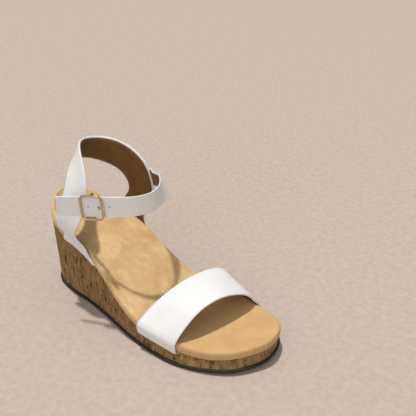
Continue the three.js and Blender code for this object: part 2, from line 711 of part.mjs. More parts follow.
const ankleGrid = ankleStrapGrid(heelGrid);
const buckle = buckleMatrix(ankleGrid);
const ankleThickness = ankleOuterThickness + layerGap + ankleLiningThickness;
const skiveLength = 7; // rows over which the root comes to its full thickness
const skiveAt = (i) => mix(skive, 1, smoothStep(clamp01(i / skiveLength)));
const ankleDepths = [
  -ankleThickness / 2, -ankleThickness / 2 + ankleLiningThickness, ankleThickness / 2 - ankleOuterThickness,
  ankleThickness / 2,
].map((depth) => (i) => depth * skiveAt(i));
const holeTools = [-1, 0, 1].map((place) => holeTool(place).applyMatrix4(buckle));
place("ankle_strap_lining", cut(layer(ankleGrid, ankleDepths[0], ankleDepths[1]), holeTools), "lining");
place("ankle_strap_outer", cut(layer(ankleGrid, ankleDepths[2], ankleDepths[3]), holeTools), "white");
place("buckle_tab", makeTab(buckle, heelGrid), "white");

const buckleGroup = new THREE.Group();
buckleGroup.applyMatrix4(buckle);
place("buckle_frame", makeBuckleFrame(), "gold", buckleGroup);
place("buckle_prong", makeProng(), "gold", buckleGroup);
sandal.add(buckleGroup);

export default sandal;
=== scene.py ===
"""Wedge sandal, right foot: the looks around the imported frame.

Metres, +Z up, +X to the toe and +Y to the inner side of the foot. The soft and wrapped pieces are rebuilt as
fine meshes on the outlines of their frame nodes, and every piece gets a procedural material.
"""
import bmesh
import bpy
import json
import math
import numpy as np
from mathutils import Matrix, Vector, noise
from mathutils.bvhtree import BVHTree


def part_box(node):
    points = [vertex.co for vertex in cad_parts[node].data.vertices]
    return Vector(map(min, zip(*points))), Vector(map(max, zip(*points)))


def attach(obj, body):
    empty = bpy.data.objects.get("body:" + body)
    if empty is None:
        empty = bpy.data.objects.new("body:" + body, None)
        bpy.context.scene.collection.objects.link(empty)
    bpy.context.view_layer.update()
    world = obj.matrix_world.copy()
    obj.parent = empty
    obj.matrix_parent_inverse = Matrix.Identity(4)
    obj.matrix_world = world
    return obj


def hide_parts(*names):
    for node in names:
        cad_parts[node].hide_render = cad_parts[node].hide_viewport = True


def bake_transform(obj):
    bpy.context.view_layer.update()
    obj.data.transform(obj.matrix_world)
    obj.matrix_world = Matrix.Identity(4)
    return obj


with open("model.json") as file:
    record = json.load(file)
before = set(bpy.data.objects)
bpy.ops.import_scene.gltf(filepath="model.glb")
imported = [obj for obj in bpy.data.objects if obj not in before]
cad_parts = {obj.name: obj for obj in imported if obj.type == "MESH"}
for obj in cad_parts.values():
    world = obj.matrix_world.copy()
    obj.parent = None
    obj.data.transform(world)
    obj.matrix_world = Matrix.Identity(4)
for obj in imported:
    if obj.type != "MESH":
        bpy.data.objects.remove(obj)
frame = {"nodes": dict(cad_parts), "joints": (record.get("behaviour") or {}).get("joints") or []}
nodes = frame["nodes"]
joints = {joint["name"]: joint for joint in frame["joints"]}
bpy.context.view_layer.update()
MM = 0.001

# ---- Sizes that the frame doesn't hold ----
STRAP_STEP = 1.1 * MM  # spacing of the rows along a strap
CORNER_GAP = 5 * MM  # corners of a strap's face lie further apart than this
LINING_THICKNESS = 0.4 * MM
END_REACH = 0.75 * MM  # a strap's end is rounded over this length
LINING_MARGIN = 1.5 * MM  # white turned edge that shows round a lining
FLARE_REAR = 18 * MM  # how far the heel strap's feet spread back along the rim
FLARE_FRONT = 8 * MM  # how far their front edges curve back above the rim
FLARE_HEIGHT = 34 * MM
FLARE_WAIST = 9 * MM
FLARE_TUCK = 2.2 * MM  # how far they pull in as they pass below the rim
FLARE_POINTS = 360
FLARE_SMOOTHING = 24
SEAM_INSET = 2.1 * MM  # stitch line from a strap's edge
TAB_MARGIN = 2 * MM
TAB_STAND_OFF = 0.12 * MM  # clears the heel strap, and stays clear of the buckle's bar
STITCH_LENGTH = 2.1 * MM
STITCH_PITCH = 2.9 * MM
STITCH_RADIUS = 0.24 * MM
SOLE_DETAIL = 5  # new points for each side of a sole outline
OUTSOLE_THICKNESS = 4 * MM
SHOULDER = 3 * MM  # plan width of the footbed's rounded edge
TREAD_PITCH = 11 * MM
TREAD_WIDTH = 2.6 * MM
TREAD_DEPTH = 1.2 * MM
TREAD_BORDER = 7 * MM
BUCKLE_WIRE = 1.9 * MM
BUCKLE_THICKNESS = 2.0 * MM
BUCKLE_CORNER = 5.5 * MM
BAR_RADIUS = 0.9 * MM
BAR_DEPTH = 3.4 * MM
PRONG_RADIUS = 0.62 * MM
SEAM_DROP = 2.6 * MM  # how far the ankle strap's top edge falls where it ends behind the heel strap
SEAM_REACH = 13 * MM
HOLE_RADIUS = 0.8 * MM
HOLE_PITCH = 9.5 * MM
HOLE_IN_USE = 5.6 * MM  # from the centre bar, towards the front
HOLE_STRETCH = 1.7  # the hole in use is pulled long
BACKING_GROWTH = 2.1  # and longer still in the backing, where the prong swings


# ---- Reading outlines from the frame ----
def welded(node):
    """A frame node's mesh with the split corners of its facets merged."""
    bm = bmesh.new()
    bm.from_mesh(nodes[node].data)
    bmesh.ops.remove_doubles(bm, verts=bm.verts, dist=0.01 * MM)
    bm.normal_update()
    return bm


def patches(bm, degrees):
    """Groups of faces that no edge sharper than the angle parts, largest first."""
    limit = math.radians(degrees)
    left = set(bm.faces)
    found = []
    while left:
        group, border = [], [left.pop()]
        while border:
            face = border.pop()
            group.append(face)
            for edge in face.edges:
                if len(edge.link_faces) != 2 or edge.calc_face_angle() > limit:
                    continue
                for other in edge.link_faces:
                    if other in left:
                        left.discard(other)
                        border.append(other)
        found.append(group)
    return sorted(found, key=lambda g: -sum(f.calc_area() for f in g))


def chain(edges):
    """Closed loops of points through these edges, longest first."""
    links = {}
    for edge in edges:
        a, b = edge.verts
        links.setdefault(a, []).append(b)
        links.setdefault(b, []).append(a)
    loops = []
    while links:
        start = next(iter(links))
        loop, here = [start], start
        while links.get(here):
            after = links[here].pop()
            links[after].remove(here)
            if after is start:
                break
            loop.append(after)
            here = after
        for vertex in loop:
            if not links.get(vertex):
                links.pop(vertex, None)
        if len(loop) > 3:
            loops.append(np.array([v.co for v in loop], float))
    length = lambda p: np.linalg.norm(np.roll(p, -1, 0) - p, axis=1).sum()
    return sorted(loops, key=length, reverse=True)


def strap_face(bm, centre, outward):
    """The faces of a strap layer's outward or inward side."""
    def facing(group):
        return sum(f.calc_area() * f.normal.dot(f.calc_center_median() - centre) for f in group)
    sides = sorted(patches(bm, 55)[:2], key=facing)
    return set(sides[-1 if outward else 0])


def long_edges(node, outward, order):
    """A strap layer's two long edges, the one with more of the order axis first, from the outer side on."""
    bm = welded(node)
    low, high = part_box(node)
    centre = (low + high) / 2
    centre.y = 0
    faces = strap_face(bm, centre, outward)
    rim = [e for e in bm.edges if len([f for f in e.link_faces if f in faces]) == 1]
    loop = chain(rim)[0]
    ahead = np.roll(loop, -1, 0) - loop
    ahead /= np.linalg.norm(ahead, axis=1)[:, None]
    turn = (np.roll(ahead, 1, 0) * ahead).sum(1)
    corners = []
    for k in np.argsort(turn):
        if len(corners) < 4 and all(np.linalg.norm(loop[k] - loop[c]) > CORNER_GAP for c in corners):
            corners.append(int(k))
    corners.sort()
    sides = []
    for a, b in zip(corners, corners[1:] + [corners[0] + len(loop)]):
        sides.append(loop[np.arange(a, b + 1) % len(loop)])
    pairs = [sorted(sides[k::2], key=lambda p: -p[:, order].mean()) for k in (0, 1)]
    first, second = max(pairs, key=lambda p: p[0][:, order].mean() - p[1][:, order].mean())
    if np.linalg.norm(first[0] - second[0]) > np.linalg.norm(first[0] - second[-1]):
        second = second[::-1]
    bm.free()
    return first, second


def resampled(points, count):
    """A smooth curve through the points, at evenly spaced places."""
    padded = np.vstack([2 * points[0] - points[1], points, 2 * points[-1] - points[-2]])
    fine = []
    for i in range(1, len(padded) - 2):
        p0, p1, p2, p3 = padded[i - 1:i + 3]
        for t in np.linspace(0, 1, 12, endpoint=False):
            fine.append(0.5 * (2 * p1 + (p2 - p0) * t + (2 * p0 - 5 * p1 + 4 * p2 - p3) * t ** 2
                               + (3 * p1 - p0 - 3 * p2 + p3) * t ** 3))
    fine = np.array(fine + [points[-1]])
    along = np.r_[0, np.cumsum(np.linalg.norm(np.diff(fine, axis=0), axis=1))]
    places = np.linspace(0, along[-1], count)
    return np.stack([np.interp(places, along, fine[:, k]) for k in range(3)], 1)


def closed_outline(points):
    """A closed smooth outline through the points, from the heel along the outer side."""
    points = np.roll(points, -int(points[:, 0].argmin()), 0)
    if points[3, 1] > points[-3, 1]:
        points = np.roll(points[::-1], 1, 0)
    fine = []
    for i in range(len(points)):
        p0, p1, p2, p3 = (points[(i + k) % len(points)] for k in (-1, 0, 1, 2))
        for step in range(SOLE_DETAIL):
            t = step / SOLE_DETAIL
            fine.append(0.5 * (2 * p1 + (p2 - p0) * t + (2 * p0 - 5 * p1 + 4 * p2 - p3) * t ** 2
                               + (3 * p1 - p0 - 3 * p2 + p3) * t ** 3))
    return np.array(fine)


def sharp_outline(node):
    """The longest sharp-edged loop round a node."""
    bm = welded(node)
    limit = math.radians(60)
    edges = [e for e in bm.edges if len(e.link_faces) == 2 and e.calc_face_angle() > limit]
    loop = chain(edges)[0]
    bm.free()
    return closed_outline(loop)


def unit(vectors):
    return vectors / np.maximum(np.linalg.norm(vectors, axis=-1, keepdims=True), 1e-12)


# ---- Making objects ----
def new_object(name, vertices, faces, material):
    mesh = bpy.data.meshes.new(name)
    mesh.from_pydata([tuple(map(float, v)) for v in vertices], [], [tuple(map(int, f)) for f in faces])
    mesh.update()
    mesh.shade_smooth()
    mesh.materials.append(material)
    obj = bpy.data.objects.new(name, mesh)
    bpy.context.scene.collection.objects.link(obj)
    return obj


def facing_out(obj):
    """Turns a closed mesh's faces outwards."""
    bm = bmesh.new()
    bm.from_mesh(obj.data)
    bmesh.ops.recalc_face_normals(bm, faces=bm.faces)
    bm.to_mesh(obj.data)
    bm.free()
    return obj


def applied(obj):
    """Applies an object's modifiers to its mesh."""
    bpy.context.view_layer.update()
    graph = bpy.context.evaluated_depsgraph_get()
    mesh = bpy.data.meshes.new_from_object(obj.evaluated_get(graph))
    obj.modifiers.clear()
    obj.data = mesh
    return obj


def boolean(obj, tool, operation):
    """Cuts a tool from an object or joins it to it, and removes the tool."""
    modifier = obj.modifiers.new("boolean", "BOOLEAN")
    modifier.object = tool
    modifier.operation = operation
    modifier.solver = "EXACT"
    applied(obj)
    bpy.data.objects.remove(tool)
    obj.data.shade_smooth()
    return obj


def smooth_by_angle(obj, degrees):
    """Keeps edges sharper than the angle crisp."""
    bm = bmesh.new()
    bm.from_mesh(obj.data)
    limit = math.radians(degrees)
    for edge in bm.edges:
        edge.smooth = len(edge.link_faces) == 2 and edge.calc_face_angle() < limit
    bm.to_mesh(obj.data)
    bm.free()


def ring_faces(rings, size, closed_ends=True):
    """Quads of a tube whose rings follow each other, with flat ends."""
    faces = []
    for k in range(rings - 1):
        for m in range(size):
            n = (m + 1) % size
            faces.append((k * size + m, k * size + n, (k + 1) * size + n, (k + 1) * size + m))
    if closed_ends:
        faces.append(tuple(range(size))[::-1])
        faces.append(tuple((rings - 1) * size + m for m in range(size)))
    return faces


# ---- Straps ----
class Band:
    """A strap between an outward and an inward face, each ruled between two long edges."""

    def __init__(self, outward, inward):
        edges = [np.asarray(e) for e in (*outward, *inward)]
        length = max(np.linalg.norm(np.diff(e, axis=0), axis=1).sum() for e in edges[:2])
        self.count = int(length / STRAP_STEP) + 1
        a, b, a_in, b_in = (resampled(e, self.count) for e in edges)
        self.middle = (a + b) / 2
        self.across = unit(a - b)
        self.width = np.linalg.norm(a - b, axis=1)
        along = unit(np.gradient(self.middle, axis=0))
        normal = unit(np.cross(along, self.across))
        inwards = (a_in + b_in) / 2 - self.middle
        if (normal * inwards).sum() > 0:
            normal = -normal
        self.along = along
        self.normal = normal
        self.thick_a = np.maximum(0.6 * MM, np.abs(((a - a_in) * normal).sum(1)))
        self.thick_b = np.maximum(0.6 * MM, np.abs(((b - b_in) * normal).sum(1)))
        self.bow = np.zeros((self.count, 3))  # how far the middle line stands off the chord between the edges

    def thickness(self, row, s):
        share = s / self.width[row] + 0.5
        return self.thick_b[row] + (self.thick_a[row] - self.thick_b[row]) * share

    def point(self, row, s, depth):
        """A point on a row, s from the middle line and so far below the outward face."""
        lift = self.bow[row] * (1 - (2 * s / self.width[row]) ** 2)
        return self.middle[row] + self.across[row] * s - self.normal[row] * depth + lift


EDGE_STEPS = 6
FACE_STEPS = 10


def shell_section(band, row, crown, groove):
    """A strap's section: crowned face with a stitch groove near each edge, and round turned edges."""
    half = band.width[row] / 2
    points = []
    near = [SEAM_INSET + 1.1 * MM, SEAM_INSET + 0.45 * MM, SEAM_INSET, SEAM_INSET - 0.45 * MM,
            SEAM_INSET - 1.0 * MM]
    dips = [0, 0.55, 1, 0.55, 0]
    inner = half - SEAM_INSET - 2.2 * MM
    face = [(s, 0) for s in np.linspace(-inner, inner, FACE_STEPS)]
    edge = [(half - e, dip) for e, dip in zip(near, dips)]
    outline = [(-s, dip) for s, dip in reversed(edge)] + face + edge
    for s, dip in outline:
        lift = crown * (1 - (s / half) ** 2)
        points.append(band.point(row, s, dip * groove - lift))
    for side in (1, -1):
        s_edge = half * side
        thick = band.thickness(row, s_edge) - LINING_THICKNESS
        radius = thick / 2
        turn = np.linspace(math.pi / 2, -math.pi / 2, EDGE_STEPS + 1)
        if side < 0:
            turn = turn[::-1]
        for angle in turn:
            s = s_edge - side * radius * (1 - math.cos(angle))
            points.append(band.point(row, s, radius - radius * math.sin(angle)))
        if side > 0:
            span = np.linspace(half - radius - 0.8 * MM, -(half - radius - 0.8 * MM), FACE_STEPS)
            for s in span:
                points.append(band.point(row, s, band.thickness(row, s) - LINING_THICKNESS))
    return points


def lining_section(band, row, margin, rise):
    """A lining's section: a thin sheet with round edges on the strap's inward face."""
    half = band.width[row] / 2 - margin
    steps = np.linspace(-half, half, FACE_STEPS)
    points = []
    for s in steps:
        full = band.thickness(row, s)
        points.append(band.point(row, s, full - LINING_THICKNESS - rise))
    for s in steps[::-1]:
        edge = 1 if abs(s) < half - 1e-9 else 0.35
        points.append(band.point(row, s * (1 - 0.004 * (1 - edge)), band.thickness(row, s)
                                 - LINING_THICKNESS * (1 - edge)))
    return points


def rippled(points, amount, scale):
    """Points moved by slow noise, so that a surface isn't perfectly even."""
    return [Vector(p) + noise.noise_vector(Vector(p) / scale) * amount for p in points]


def lofted(name, sections, material, round_ends=True):
    """A closed skin over sections, its two ends drawn in to round them."""
    size = len(sections[0])
    rings = [np.array(section) for section in sections]
    if round_ends:
        for end, inner in ((0, 1), (-1, -2)):
            ahead = unit(rings[end].mean(0) - rings[inner].mean(0))
            centre = rings[end].mean(0)
            extra = []
            for angle in (35, 65, 85):
                a = math.radians(angle)
                widest = np.linalg.norm(rings[end] - centre, axis=1).max()
                shrink = 1 - (1 - math.cos(a)) * END_REACH / widest
                depth = 0.25 + 0.75 * math.cos(a)
                flat = rings[end] - centre
                wide = unit(rings[end][len(rings[end]) // 4] - rings[end][0])
                part = np.outer(flat @ wide, wide)
                extra.append(centre + part * shrink + (flat - part) * depth + ahead * END_REACH * math.sin(a))
            rings = extra[::-1] + rings if end == 0 else rings + extra
    vertices = np.concatenate(rings)
    obj = new_object(name, vertices, ring_faces(len(rings), size), material)
    return facing_out(obj)


def under_tab(p):
    """Whether a point lies where the buckle's leather loop is sewn on."""
    low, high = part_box("buckle_tab")
    return all(low[k] - TAB_MARGIN < p[k] < high[k] + TAB_MARGIN for k in range(3))


def stitches(name, band, rows, material, groove, bare=lambda p: False):
    """Two rows of short thread stitches along a strap's edges, half sunk in their grooves."""
    vertices, faces = [], []
    ring_count, rings = 6, 5
    place = np.r_[0, np.cumsum(np.linalg.norm(np.diff(band.middle, axis=0), axis=1))]
    start, stop = place[rows[0]], place[rows[1]]
    for side in (1, -1):
        at = start
        while at + STITCH_LENGTH < stop:
            points = []
            for share in np.linspace(0, 1, rings):
                where = at + share * STITCH_LENGTH
                row = int(np.clip(np.searchsorted(place, where), 1, band.count - 1))
                mix = (where - place[row - 1]) / (place[row] - place[row - 1])
                sink = groove * 0.85 + 0.3 * MM * (2 * share - 1) ** 2
                ends = [band.point(r, side * (band.width[r] / 2 - SEAM_INSET), sink)
                        for r in (row - 1, row)]
                points.append((ends[0] * (1 - mix) + ends[1] * mix, row))
            at += STITCH_PITCH
            if bare(points[0][0]) or bare(points[-1][0]):
                continue
            base = len(vertices)
            for k, (centre, row) in enumerate(points):
                swell = STITCH_RADIUS * (1 - 0.55 * (2 * k / (rings - 1) - 1) ** 4)
                for m in range(ring_count):
                    a = 2 * math.pi * m / ring_count
                    vertices.append(centre + band.across[row] * swell * math.cos(a)
                                    + band.normal[row] * swell * math.sin(a))
            faces += [tuple(base + i for i in f) for f in ring_faces(rings, ring_count)]
    return facing_out(new_object(name, vertices, faces, material))


def chained(parts):
    """Edge pairs of strap pieces joined end to end."""
    return tuple(np.concatenate([part[k] for part in parts]) for k in (0, 1))


def rising(pair, upwards):
    """An edge pair of a glued strap end, turned to run up from its tucked end or down to it."""
    is_rising = pair[0][0][2] < pair[0][-1][2]
    return pair if is_rising == upwards else tuple(e[::-1] for e in pair)


def from_outer_side(pair):
    return pair if pair[0][0][1] < pair[0][-1][1] else tuple(e[::-1] for e in pair)


def heel_edges(layer, outward):
    """The heel strap's edges on one face, with both glued ends."""
    outer = rising(long_edges(f"heel_anchor_outer_{layer}", outward, 0), True)
    middle = from_outer_side(long_edges(f"heel_strap_{layer}", outward, 2))
    inner = rising(long_edges(f"heel_anchor_inner_{layer}", outward, 0), False)
    return chained([outer, middle, inner])


def in_range(band, test):
    """First and last rows whose middle passes a test."""
    rows = [i for i in range(band.count) if test(band.middle[i])]
    return rows[0], rows[-1]


# ---- Materials ----
class Finish:
    """A Principled material with helpers for its procedural detail, in object coordinates."""

    def __init__(self, name, color, roughness, metallic=0.0, **inputs):
        self.material = bpy.data.materials.new(name)
        self.material.use_nodes = True
        self.tree = self.material.node_tree
        self.shader = self.tree.nodes["Principled BSDF"]
        self.shader.inputs["Base Color"].default_value = (*color, 1)
        self.shader.inputs["Roughness"].default_value = roughness
        self.shader.inputs["Metallic"].default_value = metallic
        for key, value in inputs.items():
            self.shader.inputs[key.replace("_", " ")].default_value = value
        self.coordinates = self.node("ShaderNodeTexCoord").outputs["Object"]
        self.heights = []

    def node(self, kind, **values):
        made = self.tree.nodes.new(kind)
        for key, value in values.items():
            if key in made.inputs:
                made.inputs[key].default_value = value
            else:
                setattr(made, key, value)
        return made

    def link(self, source, target):
        self.tree.links.new(source, target)

    def stretched(self, scale):
        mapping = self.node("ShaderNodeMapping", Scale=scale)
        self.link(self.coordinates, mapping.inputs["Vector"])
        return mapping.outputs["Vector"]

    def noise(self, scale, detail=3.0, rough=0.55, vector=None, distortion=0.0):
        made = self.node(
            "ShaderNodeTexNoise", Scale=scale, Detail=detail, Roughness=rough, Distortion=distortion)
        self.link(vector or self.coordinates, made.inputs["Vector"])
        return made.outputs["Fac"]

    def cells(self, scale, vector=None, feature="F1"):
        made = self.node("ShaderNodeTexVoronoi", Scale=scale, feature=feature)
        self.link(vector or self.coordinates, made.inputs["Vector"])
        return made.outputs["Distance"]

    def ramp(self, source, *stops):
        made = self.node("ShaderNodeValToRGB")
        ramp = made.color_ramp
        for element, (place, color) in zip(ramp.elements, (stops[0], stops[-1])):
            element.position = place
            element.color = (*color, 1)
        for place, color in stops[1:-1]:
            ramp.elements.new(place).color = (*color, 1)
        self.link(source, made.inputs["Fac"])
        return made.outputs["Color"]

    def scaled(self, source, low, high, start=0.0, end=1.0):
        made = self.node("ShaderNodeMapRange")
        for key, value in zip(("From Min", "From Max", "To Min", "To Max"), (start, end, low, high)):
            made.inputs[key].default_value = value
        self.link(source, made.inputs["Value"])
        return made.outputs["Result"]

    def mixed(self, factor, first, second, blend="MIX"):
        made = self.node("ShaderNodeMix", data_type="RGBA", blend_type=blend)
        for socket, value in ((made.inputs[0], factor), (made.inputs[6], first), (made.inputs[7], second)):
            if isinstance(value, bpy.types.NodeSocket):
                self.link(value, socket)
            else:
                socket.default_value = value if isinstance(value, float) else (*value, 1)
        return made.outputs[2]

    def bump(self, source, distance, strength=1.0):
        made = self.node("ShaderNodeBump", Strength=strength, Distance=distance)
        self.link(source, made.inputs["Height"])
        if self.heights:
            self.link(self.heights[-1], made.inputs["Normal"])
        self.heights.append(made.outputs["Normal"])
        self.link(self.heights[-1], self.shader.inputs["Normal"])

    def paint(self, color=None, roughness=None):
        if color:
            self.link(color, self.shader.inputs["Base Color"])
        if roughness:
            self.link(roughness, self.shader.inputs["Roughness"])


def grained_leather(name, light, dark, roughness, pore, tone_scale):
    """Smooth faux leather: fine pebble grain, soft tone changes and roughness that varies in patches."""
    f = Finish(name, light, roughness, Specular_IOR_Level=0.45, Coat_Weight=0.06, Coat_Roughness=0.35)
    tone = f.scaled(f.noise(tone_scale, 4), 0, 1, 0.35, 0.7)
    speck = f.scaled(f.noise(tone_scale * 14, 2), 0, 0.35, 0.45, 0.75)
    color = f.mixed(tone, light, dark)
    sheen = f.scaled(f.noise(160, 3), roughness - 0.07, roughness + 0.09, 0.3, 0.7)
    f.paint(f.mixed(speck, color, dark), sheen)
    f.bump(f.cells(1 / pore), 0.05 * MM, 0.35)
    f.bump(f.noise(260, 3), 0.12 * MM, 0.25)
    return f.material


def thread_finish():
    f = Finish("stitch_thread", (0.9, 0.9, 0.89), 0.6)
    twist = f.node("ShaderNodeTexWave", Scale=900.0, Distortion=1.5)
    f.link(f.coordinates, twist.inputs["Vector"])
    f.paint(f.ramp(twist.outputs["Fac"], (0.2, (0.8, 0.8, 0.79)), (0.8, (0.92, 0.92, 0.91))))
    f.bump(twist.outputs["Fac"], 0.06 * MM, 0.5)
    return f.material


def suede_finish():
    """Microsuede: mottled tan nap with short brushed streaks and a soft sheen."""
    f = Finish("microsuede", (0.68, 0.46, 0.225), 0.88, Sheen_Weight=0.22, Sheen_Roughness=0.45,
               Specular_IOR_Level=0.22)
    cloud = f.ramp(f.noise(42, 4, 0.6, distortion=0.4), (0.3, (0.56, 0.35, 0.145)),
                   (0.5, (0.69, 0.465, 0.215)), (0.72, (0.8, 0.58, 0.31)))
    streak = f.noise(150, 3, 0.6, f.stretched((0.35, 1, 1)))
    nap = f.scaled(f.noise(1500, 2, 0.7), 0, 0.28, 0.4, 0.75)
    brushed = f.mixed(f.scaled(streak, 0, 0.5, 0.4, 0.72), cloud, (0.5, 0.295, 0.115))
    split = f.node("ShaderNodeSeparateXYZ")
    f.link(f.coordinates, split.inputs[0])
    # The suede is mixed up to 0.55 of the way to a darker brown between 20 and 75 mm along the foot, so it is
    # darker towards the toe.
    toward_toe = f.scaled(split.outputs["X"], 0, 0.55, 20 * MM, 75 * MM)
    darker_at_toe = f.mixed(toward_toe, brushed, (0.56, 0.33, 0.115))
    f.paint(f.mixed(nap, darker_at_toe, (0.84, 0.66, 0.41)), f.scaled(streak, 0.8, 0.95))
    f.bump(f.noise(900, 3, 0.7), 0.1 * MM, 0.45)
    f.bump(f.noise(110, 3), 0.25 * MM, 0.3)
    return f.material


def cork_finish():
    """Cork: pressed granules drawn out upwards, dark upright flecks and a few rusty specks."""
    f = Finish("cork", (0.33, 0.2, 0.085), 0.86, Specular_IOR_Level=0.25)
    upright = f.stretched((1, 1, 0.34))
    body = f.ramp(f.noise(300, 5, 0.75, upright), (0.3, (0.13, 0.072, 0.022)), (0.46, (0.26, 0.155, 0.057)),
                  (0.58, (0.34, 0.215, 0.085)), (0.74, (0.5, 0.345, 0.165)))
    fleck = f.scaled(f.noise(250, 4, 0.7, f.stretched((1, 1, 0.26)), 0.5), 0, 0.92, 0.56, 0.62)
    rust = f.scaled(f.noise(260, 2, 0.5, f.stretched((1, 1, 0.4))), 0, 0.8, 0.64, 0.7)
    granule = f.cells(300, upright)
    dark = f.mixed(fleck, body, (0.055, 0.026, 0.009))
    f.paint(f.mixed(rust, dark, (0.4, 0.215, 0.075)), f.scaled(granule, 0.75, 0.95))
    f.bump(granule, 0.2 * MM, 0.5)
    f.bump(f.scaled(fleck, 1, 0), 0.35 * MM, 0.8)
    return f.material


def rubber_finish():
    f = Finish("outsole_rubber", (0.03, 0.022, 0.015), 0.78, Specular_IOR_Level=0.35)
    tone = f.ramp(f.noise(140, 4, 0.65), (0.3, (0.018, 0.013, 0.008)), (0.7, (0.044, 0.033, 0.022)))
    dust = f.scaled(f.noise(900, 3), 0, 0.4, 0.55, 0.75)
    f.paint(f.mixed(dust, tone, (0.09, 0.068, 0.045)), f.scaled(f.noise(220, 3), 0.68, 0.88))
    f.bump(f.noise(1200, 2), 0.1 * MM, 0.5)
    return f.material


def gold_finish():
    """Pale gold plating, with hairline polish marks and slightly duller patches."""
    f = Finish("gold_plating", (0.66, 0.48, 0.25), 0.15, metallic=1.0)
    hair = f.noise(900, 3, 0.6, f.stretched((0.12, 1, 1)))
    f.paint(f.ramp(f.noise(230, 3), (0.3, (0.58, 0.4, 0.19)), (0.7, (0.74, 0.56, 0.31))),
            f.scaled(hair, 0.11, 0.27, 0.3, 0.7))
    f.bump(hair, 0.02 * MM, 0.15)
    return f.material


def plain_finish(name, light, dark, scale, roughness):
    """A mottled matt finish for the pieces inside."""
    f = Finish(name, light, roughness)
    f.paint(f.ramp(f.noise(scale, 4), (0.3, dark), (0.7, light)))
    f.bump(f.noise(scale * 3, 3), 0.1 * MM, 0.5)
    return f.material


white = grained_leather("white_faux_leather", (0.87, 0.87, 0.865), (0.81, 0.81, 0.805), 0.43, 0.75 * MM, 45)
brown = grained_leather("brown_lining", (0.185, 0.086, 0.014), (0.13, 0.058, 0.009), 0.5, 0.6 * MM, 70)
thread = thread_finish()
suede = suede_finish()
cork = cork_finish()
rubber = rubber_finish()
gold = gold_finish()
board = plain_finish("fibre_board", (0.42, 0.32, 0.21), (0.3, 0.22, 0.14), 400, 0.9)
foam = plain_finish("core_foam", (0.82, 0.79, 0.72), (0.7, 0.67, 0.6), 900, 0.9)
hidden_finishes = {"wedge_core": foam, "footbed_foam": foam, "insole_board": board}
for node, finish in hidden_finishes.items():
    nodes[node].data.materials.clear()
    nodes[node].data.materials.append(finish)


# ---- Sole ----
rim = sharp_outline("footbed_cover")
sole = sharp_outline("outsole")
RING = len(rim)
HALF = RING // 2


def inwards(outline):
    """Unit plan directions that point into an outline, which runs with its inside on the left."""
    along = np.roll(outline, -2, 0) - np.roll(outline, 2, 0)
    normal = np.stack([-along[:, 1], along[:, 0], 0 * along[:, 0]], 1)
    return unit(normal)


def inset(outline, distance, heights):
    ring = outline + inwards(outline) * distance
    ring[:, 2] = heights
    return ring


def evened(values, times):
    """Values round a ring, each drawn to the mean of its neighbours a number of times."""
    for _ in range(times):
        values = 0.5 * values + 0.25 * (np.roll(values, 1) + np.roll(values, -1))
    return values


def cross_grid(ring, steps):
    """Rows from the heel to the toe across a ring."""
    share = np.linspace(0, 1, steps + 1)[:, None]
    return np.array([ring[k] * (1 - share) + ring[(RING - k) % RING] * share for k in range(HALF + 1)])


def cross_faces(first_ring, first_inner, steps):
    """Faces of a cross grid whose end columns are vertices of a ring, and its inner vertices' numbering."""
    def index(k, m):
        if m == 0 or k in (0, HALF):
            return first_ring + k
        if m == steps:
            return first_ring + (RING - k) % RING
        return first_inner + (k - 1) * (steps - 1) + m - 1
    faces = []
    for k in range(HALF):
        for m in range(steps):
            corners = [index(k, m), index(k + 1, m), index(k + 1, m + 1), index(k, m + 1)]
            corners = list(dict.fromkeys(corners))
            if len(corners) > 2:
                faces.append(tuple(corners))
    return faces


def capped_rings(name, rings, top, material, steps=36, bottom=None):
    """A closed body through rings, its two ends covered by cross grids with given inner heights."""
    vertices = [p for ring in rings for p in ring]
    faces = ring_faces(len(rings), RING, closed_ends=False)
    for ring_number, surface in ((len(rings) - 1, top), (0, bottom)):
        grid = cross_grid(rings[ring_number], steps)
        if surface is not None:
            grid = surface(grid)
        first_inner = len(vertices)
        vertices += list(grid[1:-1, 1:-1].reshape(-1, 3))
        faces += cross_faces(ring_number * RING, first_inner, steps)
    return facing_out(new_object(name, vertices, faces, material))


def footbed_surface():
    """Heights of the footbed's top, from the frame's footbed, smoothed between its facets."""
    bm = welded("footbed_cover")
    tree = BVHTree.FromBMesh(bm)
    bm.free()
    sky = 0.3

    def height(p, fallback):
        hit = tree.ray_cast(Vector((p[0], p[1], sky)), Vector((0, 0, -1)))[0]
        return hit.z if hit else fallback

    def surface(grid):
        heights = np.array([[height(p, p[2]) for p in row] for row in grid])
        heights[:, 0], heights[:, -1] = grid[:, 0, 2], grid[:, -1, 2]
        heights[0], heights[-1] = grid[0, :, 2], grid[-1, :, 2]
        for _ in range(26):
            mean = (heights[:-2, 1:-1] + heights[2:, 1:-1] + heights[1:-1, :-2] + heights[1:-1, 2:]) / 4
            heights[1:-1, 1:-1] = 0.4 * heights[1:-1, 1:-1] + 0.6 * mean
        grid[:, :, 2] = heights
        return grid
    return height, surface


def make_footbed():
    height, surface = footbed_surface()
    seat = rim + inwards(rim) * SHOULDER
    top = evened(np.array([height(p, p[2]) for p in seat]), 6)
    joint = rim[:, 2]
    rise = top - joint
    profile = [
        (1.2 * MM, 0.3 * MM, 0), (0.35 * MM, 0.35 * MM, 0), (0.02 * MM, 0.9 * MM, 0),
        (-0.1 * MM, 2.2 * MM, 0),
        (-0.16 * MM, 0, 0.42), (-0.1 * MM, 0, 0.56), (0.06 * MM, 0, 0.7), (0.38 * MM, 0, 0.82),
        (0.95 * MM, 0, 0.915), (1.75 * MM, 0, 0.975), (SHOULDER, 0, 1),
    ]
    rings = [inset(rim, distance, joint + up + share * rise) for distance, up, share in profile]
    footbed = capped_rings("footbed", rings, surface, suede, steps=44)
    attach(footbed, "sole")
    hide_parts("footbed_cover")
    return footbed


